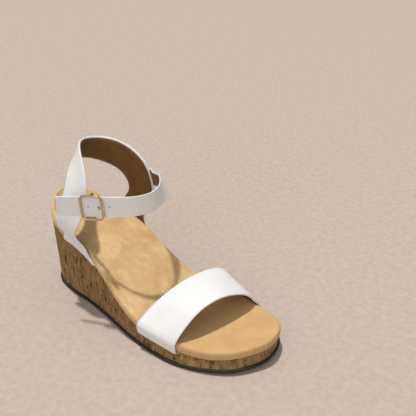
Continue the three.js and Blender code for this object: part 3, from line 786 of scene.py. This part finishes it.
def make_cork():
    """The cork sheet round the wedge, with its own uneven surface."""
    foot, head = inset(sole, 0.25 * MM, sole[:, 2] + 0.1 * MM), inset(rim, 0.3 * MM, rim[:, 2] + 0.25 * MM)
    steps = 30
    rings = []
    for share in np.linspace(0, 1, steps + 1):
        ring = foot * (1 - share) + head * share
        out = -inwards(ring)
        amount = [noise.noise(Vector((p[0] * 260, p[1] * 260, p[2] * 70))) for p in ring]
        rings.append(ring + out * (np.array(amount) * 0.22 * MM)[:, None])
    thickness = 1.5 * MM
    rings.append(inset(rings[-1], thickness, rings[-1][:, 2]))
    rings.append(inset(rings[0], thickness, rings[0][:, 2]))
    vertices = np.concatenate(rings)
    faces = ring_faces(len(rings), RING, closed_ends=False)
    last = (len(rings) - 1) * RING
    faces += [(last + m, last + (m + 1) % RING, (m + 1) % RING, m) for m in range(RING)]
    wrap = facing_out(new_object("cork_cover", vertices, faces, cork))
    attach(wrap, "sole")
    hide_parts("cork_wrap")


def tread_tool():
    """Bars that cut the grooves across the outsole's underside."""
    vertices, faces = [], []
    reach = int(0.6 * sole[:, 0].max() / TREAD_PITCH)
    for i in range(int(sole[:, 0].min() / TREAD_PITCH) + 2, reach - 1):
        x = (i + 0.5) * TREAD_PITCH
        near = sole[np.abs(sole[:, 0] - x) < 3 * MM]
        low, high = near[:, 1].min() + TREAD_BORDER, near[:, 1].max() - TREAD_BORDER
        base = len(vertices)
        for dx, y, z in ((-1, low, -1), (1, low, -1), (1, high, -1), (-1, high, -1),
                         (-0.7, low, 1), (0.7, low, 1), (0.7, high, 1), (-0.7, high, 1)):
            vertices.append((x + dx * TREAD_WIDTH / 2, y, z * TREAD_DEPTH))
        faces += [tuple(base + v for v in f) for f in
                  ((3, 2, 1, 0), (4, 5, 6, 7), (0, 1, 5, 4), (1, 2, 6, 5), (2, 3, 7, 6), (3, 0, 4, 7))]
    return new_object("tread_tool", vertices, faces, rubber)


def make_outsole():
    ground = np.maximum(0, sole[:, 2] - OUTSOLE_THICKNESS)
    profile = [(0.6 * MM, 0), (-0.3 * MM, 0.25 * MM), (-0.9 * MM, 0.9 * MM), (-1.25 * MM, 1.8 * MM),
               (-1.35 * MM, 2.8 * MM), (-1.2 * MM, 3.5 * MM), (-0.75 * MM, 3.9 * MM), (0, 4.05 * MM),
               (2 * MM, 4 * MM)]
    rings = [inset(sole, distance, ground + up) for distance, up in profile]
    tread = capped_rings("outsole_tread", rings, None, rubber, steps=8)
    boolean(tread, tread_tool(), "DIFFERENCE")
    smooth_by_angle(tread, 40)
    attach(tread, "sole")
    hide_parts("outsole")


# ---- Strap pieces ----
def strap_pieces(name, band, rows, crown, groove, ripple, bare=lambda p: False):
    """A strap's white shell, its brown lining and its stitches."""
    shell_sections, lining_sections = [], []
    for row in range(band.count):
        shell_sections.append(rippled(shell_section(band, row, crown, groove), ripple, 14 * MM))
        lining_sections.append(rippled(lining_section(band, row, LINING_MARGIN, 0.25 * MM), ripple, 14 * MM))
    shell = lofted(f"{name}_shell", shell_sections, white)
    lining = lofted(f"{name}_backing", lining_sections[2:-2], brown, False)
    seam = stitches(f"{name}_stitches", band, rows, thread, groove, bare)
    return shell, lining, seam


def make_toe_strap():
    outward = from_outer_side(long_edges("toe_strap_outer", True, 0))
    inward = from_outer_side(long_edges("toe_strap_lining", False, 0))
    band = Band(outward, inward)
    rows = in_range(band, lambda p: p[2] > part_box("toe_strap_outer")[0].z + 9 * MM)
    shell, lining, seam = strap_pieces("toe_strap", band, rows, 0.25 * MM, 0.14 * MM, 0.12 * MM)
    for piece in (shell, lining, seam):
        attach(piece, "sole")
    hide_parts("toe_strap_outer", "toe_strap_tape")
    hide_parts("toe_strap_lining")


def rim_point(x, side):
    """The footbed's rim at a place along the foot, on the outer (-1) or inner (1) side."""
    half = rim[:HALF + 1] if side < 0 else rim[HALF:][::-1]
    order = np.argsort(half[:, 0])
    return np.array([x] + [np.interp(x, half[order, 0], half[order, k]) for k in (1, 2)])


def eased(share):
    share = min(1.0, max(0.0, share))
    return share * share * (3 - 2 * share)


def above_rim(p):
    return p[2] - rim_point(p[0], math.copysign(1, p[1]))[2]


def spread(edge, reach_of):
    """An edge moved back along the rim, by a reach that depends on the height above the rim."""
    edge = resampled(edge, FLARE_POINTS)
    moved = []
    for p in edge:
        side = math.copysign(1, p[1])
        reach = reach_of(above_rim(p))
        tucked = p + rim_point(p[0] - reach, side) - rim_point(p[0], side)
        tucked[1] -= side * FLARE_TUCK * eased((1.5 * MM - above_rim(p)) / (3 * MM))
        moved.append(tucked)
    moved = np.array(moved)
    for _ in range(FLARE_SMOOTHING):
        moved[1:-1] = 0.5 * moved[1:-1] + 0.25 * (moved[:-2] + moved[2:])
    return moved


def rear_reach(height):
    return FLARE_REAR * eased(1 - height / FLARE_HEIGHT)


def front_reach(height):
    return FLARE_FRONT * eased(height / FLARE_WAIST) * eased((FLARE_HEIGHT - height) / FLARE_HEIGHT + 0.35)


def flared(pair):
    """A heel strap's front and rear edges, with its two feet spread along the rim."""
    return spread(pair[0], front_reach), spread(pair[1], rear_reach)


def hug_rim(band):
    """Bows a flared foot out to the rim, which is rounder than the chord between its edges."""
    for row in range(band.count):
        front = band.middle[row] + band.across[row] * band.width[row] / 2
        rear = band.middle[row] - band.across[row] * band.width[row] / 2
        side = math.copysign(1, band.middle[row][1])
        ends = (rim_point(front[0], side) + rim_point(rear[0], side)) / 2
        gap = rim_point(ends[0], side) - ends
        band.bow[row] = gap * eased(1 - above_rim(band.middle[row]) / FLARE_HEIGHT)


def make_heel_strap():
    """The heel strap runs on from its glued ends through the bend above the rim."""
    band = Band(flared(heel_edges("outer", True)), flared(heel_edges("lining", False)))
    hug_rim(band)
    flex = Vector(joints["heel_strap_flex"]["pos_m"])
    rows = in_range(band, lambda p: p[2] > flex.z - 4 * MM)
    pieces = strap_pieces("heel_strap", band, rows, -0.3 * MM, 0.14 * MM, 0.08 * MM, under_tab)
    for piece in pieces:
        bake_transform(piece)
    ends = ("heel_anchor_outer", "heel_anchor_inner")
    end_layers = [f"{e}_{k}" for e in ends for k in ("outer", "tape")]
    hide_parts("heel_strap_outer", "heel_strap_tape", *end_layers)
    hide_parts("heel_strap_lining", *(f"{e}_lining" for e in ends))


# ---- Buckle axes: X along the strap to the front, Y up its width, Z out from the foot ----
def buckle_axes():
    tilt = joints["buckle_tilt"]
    y = Vector(tilt["axis"]).normalized()
    bm = welded("buckle_frame")
    z = max(patches(bm, 20), key=lambda g: sum(f.calc_area() for f in g) * (g[0].normal.y < -0.5))[0].normal
    bm.free()
    z = (z - y * z.dot(y)).normalized()
    x = y.cross(z)
    origin = Vector(tilt["pos_m"]) + z * BAR_DEPTH
    return Matrix((
        (x.x, y.x, z.x, origin.x), (x.y, y.y, z.y, origin.y), (x.z, y.z, z.z, origin.z), (0, 0, 0, 1)))


buckle = buckle_axes()


def buckle_extent(node):
    """A node's lowest and highest corners in the buckle's own axes."""
    back = buckle.inverted()
    points = np.array([back @ v.co for v in nodes[node].data.vertices])
    return points.min(0), points.max(0)


def tube(path, radius, sides=16, closed=False):
    """Vertices and faces of a round tube along points, with round ends."""
    path = np.array(path, float)
    ahead = unit(np.roll(path, -1, 0) - np.roll(path, 1, 0)) if closed else unit(np.gradient(path, axis=0))
    side = np.array([0.0, 1.0, 0.0])
    if abs(ahead[0] @ side) > 0.9:
        side = np.array([1.0, 0.0, 0.0])
    rings = []
    for k, point in enumerate(path):
        side = unit(side - ahead[k] * (side @ ahead[k]))
        up = np.cross(ahead[k], side)
        angles = 2 * math.pi * np.arange(sides) / sides
        rings.append(point + radius * (np.outer(np.cos(angles), side) + np.outer(np.sin(angles), up)))
    if not closed:
        for end in (0, -1):
            way = -ahead[0] if end == 0 else ahead[-1]
            extra = []
            for degrees in (30, 60, 80):
                a = math.radians(degrees)
                extra.append(path[end] + (rings[end] - path[end]) * math.cos(a) + way * radius * math.sin(a))
            rings = extra[::-1] + rings if end == 0 else rings + extra
    count = len(rings)
    faces = ring_faces(count, sides, closed_ends=not closed)
    if closed:
        last = (count - 1) * sides
        faces += [(last + m, last + (m + 1) % sides, (m + 1) % sides, m) for m in range(sides)]
    return np.concatenate(rings), faces


def in_buckle(name, vertices, faces):
    """A gold piece given in the buckle's axes."""
    placed = [buckle @ Vector(v) for v in vertices]
    return facing_out(new_object(name, placed, faces, gold))


def rounded_rectangle(width, height, corner, steps=10):
    """Points and outward directions of a rounded rectangle's line."""
    points, outs = [], []
    for k, (sx, sy) in enumerate(((1, 1), (-1, 1), (-1, -1), (1, -1))):
        centre = np.array([sx * (width / 2 - corner), sy * (height / 2 - corner)])
        for i in range(steps + 1):
            a = math.pi / 2 * (k + i / steps)
            out = np.array([math.cos(a), math.sin(a)])
            points.append(centre + corner * out)
            outs.append(out)
    return np.array(points), np.array(outs)


def frame_ring(low, high):
    """The buckle's flat frame: a softly squared section swept round a rounded rectangle."""
    width, height = high[0] - low[0] - BUCKLE_WIRE, high[1] - low[1] - BUCKLE_WIRE
    front = high[2]
    points, outs = rounded_rectangle(width, height, BUCKLE_CORNER - BUCKLE_WIRE / 2)
    sides = 20
    rings = []
    for (x, y), out in zip(points, outs):
        ring = []
        for m in range(sides):
            a = 2 * math.pi * (m + 0.5) / sides
            c, s = math.cos(a), math.sin(a)
            u = math.copysign(abs(c) ** 0.7, c) * BUCKLE_WIRE / 2
            w = math.copysign(abs(s) ** 0.75, s) * BUCKLE_THICKNESS / 2
            ring.append((x + out[0] * u, y + out[1] * u, front - BUCKLE_THICKNESS / 2 + w))
        rings.append(ring)
    count = len(rings)
    faces = ring_faces(count, sides, closed_ends=False)
    last = (count - 1) * sides
    faces += [(last + m, last + (m + 1) % sides, (m + 1) % sides, m) for m in range(sides)]
    return np.concatenate(rings), faces


def make_buckle():
    low, high = buckle_extent("buckle_frame")
    ring = in_buckle("buckle_ring", *frame_ring(low, high))
    post = (high[1] - low[1] - BUCKLE_WIRE) / 2
    top = high[2] - BUCKLE_THICKNESS / 2
    deep = -BAR_DEPTH
    bend = 1.5 * MM
    half = [(0, post, top), (0, post, top - 2 * MM), (0, post, deep + bend),
            (0, post - 0.4 * MM, deep + 0.4 * MM), (0, post - bend, deep)]
    line = half + [(0, 0, deep)] + [(x, -y, z) for x, y, z in reversed(half)]
    bar = in_buckle("buckle_bar_tool", *tube(resampled(np.array(line), 70), BAR_RADIUS))
    boolean(ring, bar, "UNION")
    smooth_by_angle(ring, 50)
    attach(ring, "buckle")
    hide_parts("buckle_frame")


def make_prong():
    _, high = buckle_extent("buckle_prong")
    tip_x, rest = high[0], high[2] - PRONG_RADIUS
    eye_radius = BAR_RADIUS + 0.2 * MM + PRONG_RADIUS
    turns = 2 * math.pi * np.arange(40) / 40
    circle = np.stack([eye_radius * np.cos(turns), 0 * turns, eye_radius * np.sin(turns) - BAR_DEPTH], 1)
    eye = in_buckle("prong_pin", *tube(circle, PRONG_RADIUS, closed=True))
    line = np.array([
        (eye_radius, 0, -BAR_DEPTH), (3.4 * MM, 0, -2.3 * MM), (HOLE_IN_USE - 0.5 * MM, 0, -1.2 * MM),
        (HOLE_IN_USE + 0.6 * MM, 0, 1.6 * MM), (HOLE_IN_USE + 2.1 * MM, 0, rest - 0.25 * MM),
        (tip_x - 2.0 * MM, 0, rest), (tip_x - 0.6 * MM, 0, rest - 0.1 * MM)])
    pin = in_buckle("prong_tool", *tube(resampled(line, 60), PRONG_RADIUS))
    boolean(eye, pin, "UNION")
    smooth_by_angle(eye, 50)
    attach(eye, "prong")
    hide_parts("buckle_prong")


def hole_tool(place, growth=1.0):
    """A punch for one of the ankle strap's holes, the one in use longer by the growth."""
    stretch = HOLE_STRETCH * growth if place == 0 else 1
    vertices = []
    for z in (-4 * MM, 4 * MM):
        for m in range(20):
            a = 2 * math.pi * m / 20
            x = HOLE_IN_USE + place * HOLE_PITCH + HOLE_RADIUS * stretch * math.cos(a)
            vertices.append(buckle @ Vector((x, HOLE_RADIUS * math.sin(a), z)))
    return facing_out(new_object("hole_tool", vertices, ring_faces(2, 20), white))


def seam_lowered(edge):
    """The ankle strap's top edge, its sewn end lowered to stay below the heel strap's edge."""
    edge = resampled(edge, 200)
    for k, p in enumerate(edge):
        edge[k, 2] -= SEAM_DROP * eased(1 - np.linalg.norm(p - edge[-1]) / SEAM_REACH)
    return edge


def make_ankle_strap():
    outward = from_outer_side(long_edges("ankle_strap_outer", True, 2))
    inward = from_outer_side(long_edges("ankle_strap_lining", False, 2))
    outward, inward = ((seam_lowered(top), low) for top, low in (outward, inward))
    band = Band(outward, inward)
    rows = (4, band.count - 14)
    shell, lining, seam = strap_pieces("ankle_strap", band, rows, 0.1 * MM, 0.14 * MM, 0.08 * MM)
    for place in (-1, 0, 1):
        boolean(shell, hole_tool(place), "DIFFERENCE")
        boolean(lining, hole_tool(place, BACKING_GROWTH), "DIFFERENCE")
    smooth_by_angle(shell, 50)
    for piece in (shell, lining, seam):
        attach(piece, "ankle_strap")
    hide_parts("ankle_strap_outer")
    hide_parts("ankle_strap_lining")


def make_tab():
    """The leather loop that ties the buckle's bar to the heel strap, softened from its frame node."""
    bm = welded("buckle_tab")
    bmesh.ops.join_triangles(bm, faces=bm.faces, angle_face_threshold=0.6, angle_shape_threshold=0.6)
    mesh = bpy.data.meshes.new("tab_loop")
    bm.to_mesh(mesh)
    bm.free()
    mesh.materials.append(white)
    tab = bpy.data.objects.new("tab_loop", mesh)
    bpy.context.scene.collection.objects.link(tab)
    bevel = tab.modifiers.new("edge", "BEVEL")
    bevel.width = 0.18 * MM
    bevel.segments = 2
    bevel.limit_method = "ANGLE"
    bevel.angle_limit = math.radians(50)
    applied(tab)
    tab.data.shade_smooth()
    smooth_by_angle(tab, 45)
    tab.data.transform(Matrix.Translation(buckle.to_3x3() @ Vector((0, 0, TAB_STAND_OFF))))
    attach(tab, "ankle_strap")
    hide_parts("buckle_tab")


# ---- Stage ----
def make_floor():
    """A pale plastered floor."""
    bpy.ops.mesh.primitive_plane_add(size=8)
    floor = bpy.context.object
    floor.name = "floor"
    f = Finish("floor_plaster", (0.53, 0.435, 0.365), 0.85)
    f.paint(f.ramp(f.noise(160, 5, 0.65), (0.3, (0.47, 0.385, 0.325)), (0.7, (0.575, 0.475, 0.405))))
    f.bump(f.noise(420, 4), 0.3 * MM, 0.3)
    floor.data.materials.append(f.material)


def make_lamps():
    """A crisp sun from high behind the heel, and a soft fill from the front."""
    sun = bpy.data.lights.new("sun", "SUN")
    sun.energy = 2.25
    sun.angle = math.radians(2.5)
    sun.color = (1, 0.965, 0.92)
    lamp = bpy.data.objects.new("sun", sun)
    bpy.context.scene.collection.objects.link(lamp)
    travel = Vector((0.17, -0.03, -1))
    lamp.rotation_euler = travel.to_track_quat("-Z", "Y").to_euler()

    fill = bpy.data.lights.new("front_fill", "SUN")
    fill.energy = 0.95
    fill.angle = math.radians(70)
    soft = bpy.data.objects.new("front_fill", fill)
    bpy.context.scene.collection.objects.link(soft)
    soft.rotation_euler = Vector((-0.4, 0.85, -0.25)).to_track_quat("-Z", "Y").to_euler()


def make_world():
    """A sky that is dark at the horizon and bright overhead, for the metal to reflect."""
    world = bpy.data.worlds.new("studio")
    world.use_nodes = True
    bpy.context.scene.world = world
    tree = world.node_tree
    coordinates = tree.nodes.new("ShaderNodeTexCoord")
    split = tree.nodes.new("ShaderNodeSeparateXYZ")
    ramp = tree.nodes.new("ShaderNodeValToRGB")
    stops = ((0.0, 0.35), (0.5, 0.12), (0.6, 0.18), (0.75, 0.95), (1.0, 1.25))
    for element, (place, level) in zip(ramp.color_ramp.elements, (stops[0], stops[-1])):
        element.position = place
        element.color = (level, level, level, 1)
    for place, level in stops[1:-1]:
        ramp.color_ramp.elements.new(place).color = (level, level, level, 1)
    shift = tree.nodes.new("ShaderNodeMapRange")
    shift.inputs["From Min"].default_value = -1
    tree.links.new(coordinates.outputs["Generated"], split.inputs[0])
    tree.links.new(split.outputs["Z"], shift.inputs["Value"])
    tree.links.new(shift.outputs["Result"], ramp.inputs["Fac"])
    tree.links.new(ramp.outputs["Color"], tree.nodes["Background"].inputs["Color"])
    tree.nodes["Background"].inputs["Strength"].default_value = 0.4
    bpy.context.scene.view_settings.view_transform = "Standard"


def make_camera():
    """Looks down on the outer side from in front."""
    data = bpy.data.cameras.new("camera")
    data.sensor_width = 36
    data.lens = 56.594
    camera = bpy.data.objects.new("camera", data)
    bpy.context.scene.collection.objects.link(camera)
    right = Vector((0.7909, 0.6120, 0)).normalized()
    ahead = Vector((-0.5256, 0.6793, -0.5121)).normalized()
    up = right.cross(ahead).normalized()
    axes = Matrix((right, up, -ahead)).transposed()
    camera.matrix_world = Matrix.Translation((0.33818, -0.35841, 0.40425)) @ axes.to_4x4()
    bpy.context.scene.camera = camera


make_camera()
make_floor()
make_lamps()
make_world()
make_outsole()
make_cork()
make_footbed()
make_toe_strap()
make_heel_strap()
make_ankle_strap()
make_tab()
make_buckle()
make_prong()
